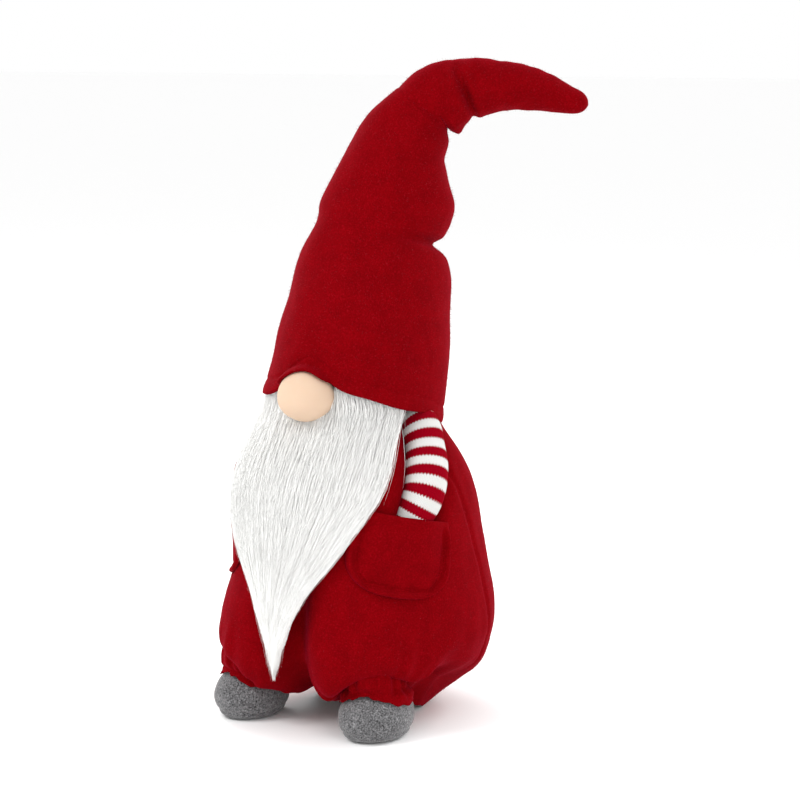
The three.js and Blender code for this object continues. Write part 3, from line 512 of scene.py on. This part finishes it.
def body_place(across, up):
    turn = across * 2 * math.pi - math.pi
    share = 0.5 - 0.5 * np.cos(up * math.pi)
    share = 0.35 * share + 0.65 * up
    outline = follow(BODY_OUTLINE, share)
    height, radius = outline[:, 0], np.maximum(outline[:, 1], 0)
    points = np.stack([radius * np.sin(turn), -radius * np.cos(turn), height], 1)
    start = points.copy()
    front = -points[:, 1]
    groove = GROOVE_DEPTH * (1 - smooth(height, 90, 160)) + GROOVE_DEPTH_BELOW * (1 - smooth(height, 0, 60))
    points[:, 1] += groove * smooth(front, 10, 60) * bell(points[:, 0], GROOVE_WIDTH)
    under = 13 * smooth(front, -9, 18) + 22 * smooth(front, 15, 50)
    under *= 1 - 0.3 * bell(points[:, 0], 18)
    under += 27 * smooth(np.abs(points[:, 0]), 43, 76) * smooth(front, -70, -8) * (1 - smooth(front, 30, 58))
    points[:, 2] += under * np.clip(1 - height / 75, 0, 1)
    outward = start * [1, 1, 0] / np.maximum(radius, 5)[:, None]
    swell = 1.1 * wobble(start, 80, 3) + 0.4 * wobble(start, 30, 4) + 0.1 * wobble(start, 9, 5)
    swell *= smooth(height, 4, 40)
    for side in (-1, 1):
        ankle = points[:, :2] - [side * SHOE_X, SHOE_Y]
        reach = np.linalg.norm(ankle * [1, 0.85], axis=1)
        around = np.arctan2(ankle[:, 1], ankle[:, 0])
        gather = np.cos(around * 9 + 0.9 * np.sin(around * 3)) + 0.5 * np.cos(around * 17 + side)
        near = bell(reach - 36, 15) * (1 - smooth(points[:, 2], 58, 92))
        swell += 2.4 * gather * near
        leg = bell(start[:, 0] - side * 58, 34) * bell(points[:, 2] - 66, 26)
        swell += LEG_SWELL * leg * smooth(front, 20, 70)
        points[:, 2] += 8 * bell(reach, 22) * (1 - smooth(height, 10, 34))
        points[:, 2] -= 17 * bell(reach - 36, 15) * (1 - smooth(points[:, 2], 48, 92)) * smooth(front, 5, 45)
    swell -= 2.0 * waist_dent(np.degrees(turn), height)
    points += outward * (swell - seam_dent(start))[:, None]
    points[:, :2] += BELLY_SHIFT * (smooth(height, 20, 80) * (1 - smooth(height, 170, 235)))[:, None]
    for side in (-1, 1):
        centres, radii = arm_line(side, 40)
        reach = np.linalg.norm(points[:, None] - centres[None], axis=2) / (radii[None] + 14)
        near = np.clip(1 - reach.min(1), 0, 1)
        points -= outward * (9 * smooth(near, 0, 0.6))[:, None]
        points = push_clear(points, centres, radii, 1.0 if side > 0 else 1.6)
    return points


def hem_place(side):
    """Gathered leg end: from inside the leg down over the shoe, its edge arched over the toe."""

    def place(across, up):
        turn = across * 2 * math.pi
        toe = np.clip(np.cos(turn + math.pi / 2 - 0.3 * side), 0, 1)
        ruffle = np.cos(turn * 10 + 1.1 * np.sin(turn * 3)) + 0.6 * np.cos(turn * 17 + side)
        edge = HEM_LOW + HEM_ARCH * toe**2 + 0.5 * ruffle
        outside = np.clip(up / HEM_TURN, 0, 1)
        inside = edge + HEM_UNDER * (up - HEM_TURN) / (1 - HEM_TURN)
        height = np.where(up < HEM_TURN, HEM_TOP + (edge - HEM_TOP) * outside, inside)
        ring = np.sqrt(np.clip(1 - ((np.minimum(height, 39) - SHOE_CENTRE) / SHOE_HALF[2]) ** 2, 0, 1))
        above = np.clip(height - edge, 0, 100)
        off = 1.3 + 4.5 * smooth(above, 0, 9) - 2.5 * smooth(above, 14, 28)
        off = off + 1.1 * ruffle * smooth(above, 0.5, 7)
        off = np.where(up < HEM_TURN, off, 0.6)
        x = (SHOE_HALF[0] * ring + off) * np.cos(turn)
        y = (SHOE_HALF[1] * ring + off) * np.sin(turn)
        return np.stack([side * SHOE_X + x, SHOE_Y + y, height], 1)

    return place


def make_overalls():
    trunk = dress(surface("overalls", 300, 230, body_place), "red_fleece")
    panels = [f"overalls_{place}_{side}" for place in ("front", "back") for side in ("left", "right")]
    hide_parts("body_filling", "body_top_cover", "base_panel", *panels)
    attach(trunk, "root")
    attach(dress(nap(trunk, 12000, 61), "nap_fibre"), "root")
    made = [trunk]
    for side, word in ((1, "left"), (-1, "right")):
        hem = dress(surface(f"leg_end_{word}", 150, 26, hem_place(side)), "red_fleece")
        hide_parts(f"ankle_elastic_{word}")
        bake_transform(hem)
        made.append(hem)
    return made


def pocket_place(side):
    slant = math.radians(POCKET_SLANT)

    def place(across, up):
        low = np.clip(1 - up / 0.55, 0, 1)
        half = 0.5 * POCKET_WIDTH * (1 - low**2.5) ** (1 / 2.5)
        x, y = (across * 2 - 1) * half, up * POCKET_HEIGHT
        edge = np.minimum(half - np.abs(x), y + 2 * (1 - np.abs(across * 2 - 1)))
        mouth = POCKET_HEIGHT - y
        rise = y - POCKET_HEIGHT / 2
        y = rise * math.cos(slant) - x * math.sin(slant) + POCKET_HEIGHT / 2
        x = x * math.cos(slant) + rise * math.sin(slant)
        height = POCKET_BOTTOM + y
        turn = np.radians(POCKET_TURN) + x / 100
        rim = (2.2 + 0.8 * side) * bell(edge - 3.6, 2.6) - 1.6 * bell(edge - 8.5, 2.0)
        rim = rim * smooth(mouth, 2, 12) + 0.7 * bell(mouth - 3, 3)
        fill = (3.5 if side > 0 else 0.5) * smooth(edge, 6, 26) * smooth(y, 2, 40)
        off = 1.4 + 1.6 * smooth(edge, 0, 5) + rim + fill
        radius = body_radius(height) + off - 7.5 * waist_dent(side * np.degrees(turn), height)
        points = np.stack([side * radius * np.sin(turn), -radius * np.cos(turn), height], 1)
        return points + (points * [1, 1, 0] / radius[:, None]) * (0.5 * wobble(points, 22, 8))[:, None]

    return place


def make_pockets():
    made = []
    for side, word in ((1, "left"), (-1, "right")):
        obj = surface(f"pocket_cloth_{word}", 72, 54, pocket_place(side), thick=1.8)
        dress(obj, "red_fleece")
        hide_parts(f"pocket_{word}")
        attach(obj, "root")
        made.append(obj)
    return made


# ---------------------------------------------------------------- arms


def arm_place(side):
    centres, radii = arm_line(side, 200)
    ahead = np.gradient(centres, axis=0)
    ahead /= np.linalg.norm(ahead, axis=1)[:, None]

    def place(across, up):
        k = np.clip((up * 199).astype(int), 0, 198)
        t = (up * 199 - k)[:, None]
        centre = centres[k] * (1 - t) + centres[k + 1] * t
        direction = ahead[k] * (1 - t) + ahead[k + 1] * t
        outward = centre * [1, 1, 0]
        outward -= direction * (outward * direction).sum(1)[:, None]
        outward /= np.linalg.norm(outward, axis=1)[:, None]
        beside = np.cross(direction, outward)
        turn = across * 2 * math.pi
        ends = np.sqrt(np.clip(1 - np.clip(up / 0.06 - 1, -1, 0) ** 2, 0, 1))
        ends = ends * np.sqrt(np.clip(1 - np.clip((up - 0.9) / 0.1, 0, 1) ** 2, 0, 1))
        size = (radii[k] * (1 - t[:, 0]) + radii[k + 1] * t[:, 0]) * ends
        size = size + 0.5 * wobble(centre + direction, 26, 12) * ends
        ring = outward * np.cos(turn)[:, None] + beside * np.sin(turn)[:, None] * side
        return centre + size[:, None] * ring

    return place


def make_arms():
    made = []
    for side, word in ((1, "left"), (-1, "right")):
        obj = surface(f"knit_sleeve_{word}", 72, 150, arm_place(side))
        dress(obj, "striped_knit")
        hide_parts(f"sleeve_{word}", f"arm_filling_{word}")
        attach(obj, f"arm_{word}")
        made.append(obj)
    return made


# ---------------------------------------------------------------- shoes


def shoe_place(side):
    def place(across, up):
        turn, tilt = across * 2 * math.pi, (up - 0.5) * math.pi
        ring = np.cos(tilt)
        x, y = np.cos(turn) * ring, np.sin(turn) * ring
        z = np.sin(tilt)
        points = np.stack([x * SHOE_HALF[0], y * SHOE_HALF[1], z * SHOE_HALF[2] + SHOE_CENTRE], 1)
        toe = smooth(-points[:, 1], -10, 34)
        points[:, 2] -= TOE_DROP * toe * smooth(points[:, 2], 10, 40)
        low = points[:, 2]
        points[:, 2] = np.where(low < 4, 4 * np.exp(np.minimum(low - 4, 0) / 5.0), low)
        points[:, 2] = np.maximum(points[:, 2] - 0.3, 0.25)
        spread = 1 - 0.035 * bell(points[:, 2] - SOLE_HEIGHT, 1.6) + 0.012 * wobble(points, 20, 21 + side)
        points[:, :2] *= spread[:, None]
        return points + [side * SHOE_X, SHOE_Y, 0]

    return place


def make_shoes():
    made = []
    for side, word in ((1, "left"), (-1, "right")):
        obj = surface(f"felt_shoe_{word}", 110, 80, shoe_place(side))
        dress(obj, "grey_felt")
        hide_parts(f"shoe_upper_{word}", f"shoe_sole_{word}", f"shoe_filling_{word}")
        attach(obj, f"shoe_{word}")
        made.append(obj)
    return made


# ---------------------------------------------------------------- nose


def nose_place(across, up):
    turn, tilt = across * 2 * math.pi, (up - 0.5) * math.pi
    x, y, z = np.cos(turn) * np.cos(tilt), np.sin(turn) * np.cos(tilt), np.sin(tilt)
    low = smooth(-z, 0.1, 1)
    x, y = x * (1 - 0.09 * low), y * (1 - 0.08 * low)
    return np.array(NOSE) + NOSE_RADIUS * np.stack([x, y, z * (1 - 0.15 * low)], 1)


def make_nose():
    obj = surface("nose", 64, 44, nose_place)
    dress(obj, "peach_jersey")
    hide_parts("nose_cover", "nose_filling")
    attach(obj, "root")
    return obj


# ---------------------------------------------------------------- hat


def hat_at(along, turn, radius):
    """Points round the hat's line: turn 0 is the side it flops to, and 90 degrees is the fold axis."""
    k = np.clip(along.astype(int), 0, HAT_LENGTH - 1)
    t = (along - k)[:, None]
    centre = HAT_POINTS[k] * (1 - t) + HAT_POINTS[k + 1] * t
    direction = HAT_DIRECTIONS[k] * (1 - t) + HAT_DIRECTIONS[k + 1] * t
    direction /= np.linalg.norm(direction, axis=1)[:, None]
    inner = np.cross(FOLD_AXIS, direction)
    inner /= np.linalg.norm(inner, axis=1)[:, None]
    beside = np.cross(direction, inner)
    ring = inner * np.cos(turn)[:, None] + beside * np.sin(turn)[:, None]
    return centre + ring * radius[:, None], direction, ring


def hat_radius(along):
    return np.interp(along, FINE_HAT[:, 0], FINE_HAT[:, 1])


FINE_HAT = follow(HAT_OUTLINE, np.linspace(0, 1, 500))


def softened(table):
    """A table read at every millimetre of the hat, with its corners rounded."""
    reach, width = 24, 9
    share = bell(np.arange(-reach, reach + 1), width)
    line = np.interp(np.arange(-reach, HAT_LENGTH + reach + 1), *np.array(table, float).T)
    return np.convolve(line, share / share.sum(), "valid")


OUTER_LINE, INNER_LINE = softened(HAT_OUTER), softened(HAT_INNER)


def hat_shape(along, turn):
    """Radius of the hat, with its outer and inner sides pulled to shape."""
    outer = np.interp(along, np.arange(HAT_LENGTH + 1), OUTER_LINE)
    inner = np.interp(along, np.arange(HAT_LENGTH + 1), INNER_LINE)
    facing = np.cos(turn)
    return hat_radius(along) + outer * np.clip(-facing, 0, 1) ** 1.5 + inner * np.clip(facing, 0, 1) ** 1.5


def hat_lower_place(across, up):
    """From inside the brim, round the hem, and up to the rolled lip at the upper fold."""
    turn = across * 2 * math.pi
    inside = 0.09
    outside = np.clip((up - inside) / (1 - inside), 0, 1)
    end = 250 - 7 * (0.5 + 0.5 * np.cos(turn))
    along = np.where(up < inside, (inside - up) / inside * 30, outside * end)
    radius = hat_shape(along, turn)
    inner = bell(np.degrees(np.angle(np.exp(1j * turn))), 62)
    for place, width, depth in LOWER_FOLDS:
        radius = radius + inner * depth * bell(along - place, width)
    start = hat_at(along, turn, radius)[0]
    radius = radius + 0.9 * wobble(start, 90, 31) + 0.35 * wobble(start, 34, 32) + 0.1 * wobble(start, 11, 33)
    radius = radius - 0.7 * bell(along - 12, 1.5) + 0.8 * bell(along - 4, 5)
    radius = radius - 2.6 * smooth(along, end - 7, end)
    radius = np.where(up < inside, radius - 2.4, radius)
    points, direction, ring = hat_at(along, turn, radius)
    face = np.degrees(np.arctan2(points[:, 0], -points[:, 1]))
    lift = (19.0 * bell(face - 2, 17) - 5.0 * bell(face - 116, 24)) * (1 - smooth(along, 0, 60))
    points += direction * lift[:, None]
    droop = 1.8 * np.sin(turn * 3 + 0.6) + 0.9 * np.sin(turn * 7)
    points += direction * (droop * (1 - smooth(along, 0, 40)))[:, None]
    gap = points - np.array(NOSE)
    outward = ring * [1, 1, 0]
    outward /= np.linalg.norm(outward, axis=1)[:, None]
    ahead = (gap * outward).sum(1)
    room = (NOSE_RADIUS + np.where(up < inside, 0.6, 3.0)) ** 2 - (gap**2).sum(1)
    push = np.where(room > 0, np.sqrt(np.clip(ahead**2 + room, 0, None)) - ahead, 0)
    points += outward * push[:, None]
    return points


def hat_upper_place(across, up):
    """From inside the lower cloth to the closed tip, with a pinch just past the fold."""
    turn = across * 2 * math.pi
    along = TIP_START + up * (HAT_LENGTH - TIP_START)
    at_fold = hat_shape(np.full(len(along), float(HAT_SECOND)), turn)
    tuck = 0.6 + 3.0 * (0.5 + 0.5 * np.cos(turn))
    radius = np.where(along < HAT_SECOND, at_fold - tuck, hat_shape(along, turn))
    radius = radius - tuck * (1 - smooth(along, HAT_SECOND, HAT_SECOND + 7)) * (along >= HAT_SECOND)
    side = bell(np.degrees(np.angle(np.exp(1j * (turn + math.pi / 2)))), 55)
    inner = bell(np.degrees(np.angle(np.exp(1j * turn))), 60)
    for facing, folds in ((side, TIP_SIDE_FOLDS), (inner, TIP_INNER_FOLDS)):
        for place, width, depth in folds:
            radius = radius + facing * depth * bell(along - place, width)
    start = hat_at(along, turn, radius)[0]
    uneven = 0.8 * wobble(start, 40, 41) + 0.35 * wobble(start, 15, 42)
    radius = radius + uneven * smooth(HAT_LENGTH - along, 0, 30)
    points = hat_at(along, turn, np.maximum(radius, 0))[0]
    return points - np.array([0, 0, TIP_SAG]) * smooth(along, 285, 350)[:, None]


def hat_point(along):
    return [float(v) * MM for v in HAT_POINTS[int(along)]]


def make_hat():
    lower = dress(surface("hat_cloth_lower", 260, 290, hat_lower_place), "red_fleece")
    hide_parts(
        "hat_lower", "hat_lower_filling", "hat_middle", "hat_middle_filling", "hat_hem_stitching"
    )
    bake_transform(lower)
    upper = dress(surface("hat_cloth_tip", 130, 190, hat_upper_place), "red_fleece")
    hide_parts("hat_tip", "hat_tip_filling")
    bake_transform(upper)
    at_fold = ("root", "hat_middle_body", hat_point(HAT_LOWER - 32), hat_point(HAT_LOWER + 32))
    at_second = ("hat_middle_body", "hat_tip_body", hat_point(HAT_SECOND - 2), hat_point(HAT_SECOND + 26))
    for cloth, count, ends in ((lower, 10000, at_fold), (upper, 2500, at_second)):
        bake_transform(dress(nap(cloth, count, 62), "nap_fibre"))
    return [lower, upper]


# ---------------------------------------------------------------- beard


def beard_half_turn(height):
    table = np.array(BEARD_EDGE)
    return np.radians(np.interp(height, table[:, 0], table[:, 1]))


def beard_point(height, share, off):
    """A point of the beard: share runs from -1 to 1 across, and off is its distance from the body."""
    turn = share * beard_half_turn(height)
    radius = body_radius(np.clip(height, 92, 246)) + 2.0 + off - 3 * smooth(100 - height, 0, 60)
    return np.stack([radius * np.sin(turn), -radius * np.cos(turn), height], -1)


def beard_ground_place(across, up):
    height = GROUND_LOW + up * (GROUND_TOP - GROUND_LOW)
    share = (across * 2 - 1) * 0.9
    thick = np.sqrt(np.clip(1 - (across * 2 - 1) ** 2, 0, 1)) * smooth(height, 70, 110)
    thick = 3.0 * thick * (1 - smooth(height, 246, 262))
    return beard_point(height, share, thick + 0.4)


def locks(count, seed):
    """Centre lines that neighbouring hairs draw together on."""
    rng = np.random.default_rng(seed)
    return np.stack([rng.uniform(40, 276, count), rng.uniform(-1, 1, count)], 1)


HAIR_TAPER = np.array([0.8, 1, 1, 0.9, 0.75, 0.45, 0.1])


def hairs(name, count, seed, thickness, loose):
    """A bundle of tapered hairs flowing down to the beard's point."""
    rng = np.random.default_rng(seed)
    middle = locks(150, 77)
    curve = new_bundle(name)
    steps = np.linspace(0, 1, 7)
    for _ in range(count):
        root = BEARD_TOP - 200 * rng.uniform() ** 0.85
        share = rng.uniform(-1, 1)
        length = rng.uniform(48, 96) * (0.5 + 0.5 * smooth(BEARD_TOP - root, 0, 50))
        end = max(root - length, BEARD_TIP + rng.uniform(0, 14) + 10 * abs(share))
        height = root + (end - root) * steps
        nearest = middle[np.argmin(((middle[:, 0] - end) / 36) ** 2 + ((middle[:, 1] - share) / 0.12) ** 2)]
        draw = 0.45 * steps**1.6 * (1 - loose)
        path = share + (nearest[1] - share) * draw
        path = path + rng.normal(0, 0.02 + 0.05 * loose) * steps
        path = path + rng.normal(0, 0.014) * np.sin(steps * 5 + rng.uniform(0, 6))
        over = rng.uniform(6.0, 10.5) * (1 - 0.35 * abs(share) ** 3) * (1 - 0.4 * smooth(height, 245, 268))
        off = 0.4 + over * np.sin(np.minimum(steps * 1.9, 1.57)) * (1 - 0.18 * steps)
        off = off + loose * rng.normal(0, 2.5) * steps**2
        off = np.maximum(off, 0.3) + OVER_SLEEVE * smooth(-path, 0.45, 0.95) * smooth(height, 120, 170)
        points = beard_point(height, path, off) * MM
        add_hair(curve, points, thickness * rng.uniform(0.7, 1.2) * HAIR_TAPER)
    return dress(mesh_from_curve(name, curve), "white_fur")


def make_beard():
    ground = dress(surface("beard_fur", 90, 120, beard_ground_place, thick=2.0), "fur_ground")
    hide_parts("beard_pile", "beard_backing")
    made = [ground]
    settings = bpy.context.scene.tomte
    count, strays = ((settings.hair_count, settings.stray_count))
    for part in range(5):
        made.append(hairs(f"beard_hair_{part + 1}", count, 100 + part, settings.hair_radius, 0.0))
    made.append(hairs("beard_stray_hair", strays, 200, settings.stray_radius, 1.0))
    for obj in made:
        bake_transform(obj)
    return made


# ---------------------------------------------------------------- hidden pieces and stage


def dress_frame():
    """Gives every piece that is still shown the finish of its slot."""
    slots = {
        "base_board": "board", "weight_bag": "weight_grains", "hat_wire_lower": "steel_wire",
        "hat_wire_middle": "steel_wire", "hat_wire_tip": "steel_wire",
    }
    for node, slot in slots.items():
        dress(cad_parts[node], slot)


def area_light(name, place, aim, size, power):
    lamp = bpy.data.lights.new(name, "AREA")
    lamp.shape = "DISK"
    lamp.size = size
    lamp.energy = power
    obj = bpy.data.objects.new(name, lamp)
    obj.location = place
    obj.rotation_euler = (Vector(aim) - Vector(place)).to_track_quat("-Z", "Y").to_euler()
    bpy.context.scene.collection.objects.link(obj)
    return obj


def make_camera():
    data = bpy.data.cameras.new("camera")
    data.sensor_width = 36
    data.lens = 106.9
    data.dof.use_dof = False
    obj = bpy.data.objects.new("camera", data)
    turn, rise, distance = math.radians(33), math.radians(8.6), 1.9
    target = Vector((0.0294, 0.0191, 0.252))
    back = Vector((math.sin(turn) * math.cos(rise), -math.cos(turn) * math.cos(rise), math.sin(rise)))
    obj.location = target + back * distance
    obj.rotation_euler = (-back).to_track_quat("-Z", "Y").to_euler()
    bpy.context.scene.collection.objects.link(obj)
    bpy.context.scene.camera = obj


def make_stage():
    bm = bmesh.new()
    bmesh.ops.create_grid(bm, x_segments=1, y_segments=1, size=30)
    floor = finish_mesh(bm, "floor", False)
    paint = {"Base Color": (0.98, 0.98, 0.98, 1), "Roughness": 0.9}
    floor.data.materials.append(material("pale_floor", None, {}, paint))
    bpy.context.scene.view_settings.view_transform = "Standard"
    world = bpy.data.worlds.new("studio")
    bpy.context.scene.world = world
    world.use_nodes = True
    back = world.node_tree.nodes["Background"]
    back.inputs["Color"].default_value = (1, 1, 1, 1)
    back.inputs["Strength"].default_value = 1.0
    area_light("key", (-0.9, -1.5, 1.7), (0, 0, 0.25), 1.2, 26)
    area_light("fill", (1.8, -0.9, 0.9), (0, 0, 0.25), 1.4, 10)
    area_light("rim", (0.9, 1.6, 1.4), (0, 0, 0.3), 1.2, 24)
    area_light("rim_left", (-1.6, 0.8, 1.0), (0, 0, 0.3), 1.0, 14)


# ---------------------------------------------------------------- add-on


class TomteSettings(bpy.types.PropertyGroup):
    """Colours and fibre sizes of the tomte."""

    fleece_colour: bpy.props.FloatVectorProperty(
        name="Fleece", description="Colour of the fleece",
        subtype="COLOR", size=4, default=(0.178, 0.0002, 0.0018, 1)
    )
    fleece_shade: bpy.props.FloatVectorProperty(
        name="Fleece shade", description="Darker fibres",
        subtype="COLOR", size=4, default=(0.1, 0.0001, 0.001, 1)
    )
    fleece_light: bpy.props.FloatVectorProperty(
        name="Fleece light", description="Lighter fibres",
        subtype="COLOR", size=4, default=(0.3, 0.003, 0.01, 1)
    )
    felt_colour: bpy.props.FloatVectorProperty(
        name="Felt", description="Colour of the shoes",
        subtype="COLOR", size=4, default=(0.15, 0.148, 0.152, 1)
    )
    nose_colour: bpy.props.FloatVectorProperty(
        name="Nose", description="Colour of the nose",
        subtype="COLOR", size=4, default=(0.61, 0.447, 0.328, 1)
    )
    hair_colour: bpy.props.FloatVectorProperty(
        name="Hair", description="Colour of the beard",
        subtype="COLOR", size=4, default=(0.91, 0.91, 0.895, 1)
    )
    sleeve_bands: bpy.props.FloatProperty(
        name="Bands", description="Pairs of stripes along a sleeve", default=11.4, min=1
    )
    nap_length: bpy.props.FloatProperty(
        name="Nap", description="Length of the fleece's loose fibres",
        default=0.0015, unit="LENGTH", precision=5
    )
    hair_count: bpy.props.IntProperty(
        name="Hairs", description="Hairs in each fifth of the beard", default=3900, min=1
    )
    stray_count: bpy.props.IntProperty(
        name="Stray hairs", description="Hairs that stand loose", default=1600, min=1
    )
    hair_radius: bpy.props.FloatProperty(
        name="Hair radius", description="Radius of a hair",
        default=0.00019, unit="LENGTH", precision=5
    )
    stray_radius: bpy.props.FloatProperty(
        name="Stray hair radius", description="Radius of a stray hair",
        default=0.00009, unit="LENGTH", precision=5
    )


class TOMTE_OT_camera(bpy.types.Operator):
    """Set the camera"""

    bl_idname = "tomte.camera"
    bl_label = "Camera"

    def execute(self, context):
        make_camera()
        return {"FINISHED"}


class TOMTE_OT_overalls(bpy.types.Operator):
    """Sew the stuffed overalls and their gathered leg ends"""

    bl_idname = "tomte.overalls"
    bl_label = "Overalls"

    def execute(self, context):
        make_overalls()
        return {"FINISHED"}


class TOMTE_OT_pockets(bpy.types.Operator):
    """Sew on the two patch pockets"""

    bl_idname = "tomte.pockets"
    bl_label = "Pockets"

    def execute(self, context):
        make_pockets()
        return {"FINISHED"}


class TOMTE_OT_arms(bpy.types.Operator):
    """Knit the two striped sleeves"""

    bl_idname = "tomte.arms"
    bl_label = "Arms"

    def execute(self, context):
        make_arms()
        return {"FINISHED"}


class TOMTE_OT_shoes(bpy.types.Operator):
    """Make the two felt shoes"""

    bl_idname = "tomte.shoes"
    bl_label = "Shoes"

    def execute(self, context):
        make_shoes()
        return {"FINISHED"}


class TOMTE_OT_nose(bpy.types.Operator):
    """Make the jersey nose"""

    bl_idname = "tomte.nose"
    bl_label = "Nose"

    def execute(self, context):
        make_nose()
        return {"FINISHED"}


class TOMTE_OT_hat(bpy.types.Operator):
    """Sew the tall hat and its flopped tip"""

    bl_idname = "tomte.hat"
    bl_label = "Hat"

    def execute(self, context):
        make_hat()
        return {"FINISHED"}


class TOMTE_OT_beard(bpy.types.Operator):
    """Grow the long fur beard"""

    bl_idname = "tomte.beard"
    bl_label = "Beard"

    def execute(self, context):
        make_beard()
        return {"FINISHED"}


class TOMTE_OT_hidden(bpy.types.Operator):
    """Finish the wires, the board and the bag of grains"""

    bl_idname = "tomte.hidden"
    bl_label = "Hidden pieces"

    def execute(self, context):
        dress_frame()
        return {"FINISHED"}


class TOMTE_OT_stage(bpy.types.Operator):
    """Lay the floor and set the lights"""

    bl_idname = "tomte.stage"
    bl_label = "Stage"

    def execute(self, context):
        make_stage()
        return {"FINISHED"}


OPERATORS = [
    TOMTE_OT_camera,
    TOMTE_OT_overalls,
    TOMTE_OT_pockets,
    TOMTE_OT_arms,
    TOMTE_OT_shoes,
    TOMTE_OT_nose,
    TOMTE_OT_hat,
    TOMTE_OT_beard,
    TOMTE_OT_hidden,
    TOMTE_OT_stage,
]


class TOMTE_PT_build(bpy.types.Panel):
    """Lists every step of the build"""

    bl_label = "Tomte"
    bl_space_type = "VIEW_3D"
    bl_region_type = "UI"
    bl_category = "Tomte"

    def draw(self, context):
        for step in OPERATORS:
            self.layout.operator(step.bl_idname)


CLASSES = [TomteSettings, *OPERATORS, TOMTE_PT_build]


def register():
    for item in CLASSES:
        bpy.utils.register_class(item)
    bpy.types.Scene.tomte = bpy.props.PointerProperty(type=TomteSettings)


def unregister():
    del bpy.types.Scene.tomte
    for item in reversed(CLASSES):
        bpy.utils.unregister_class(item)


def main():
    register()
    for step in OPERATORS:
        group, name = step.bl_idname.split(".")
        getattr(getattr(bpy.ops, group), name)()


if __name__ == "__main__":
    main()
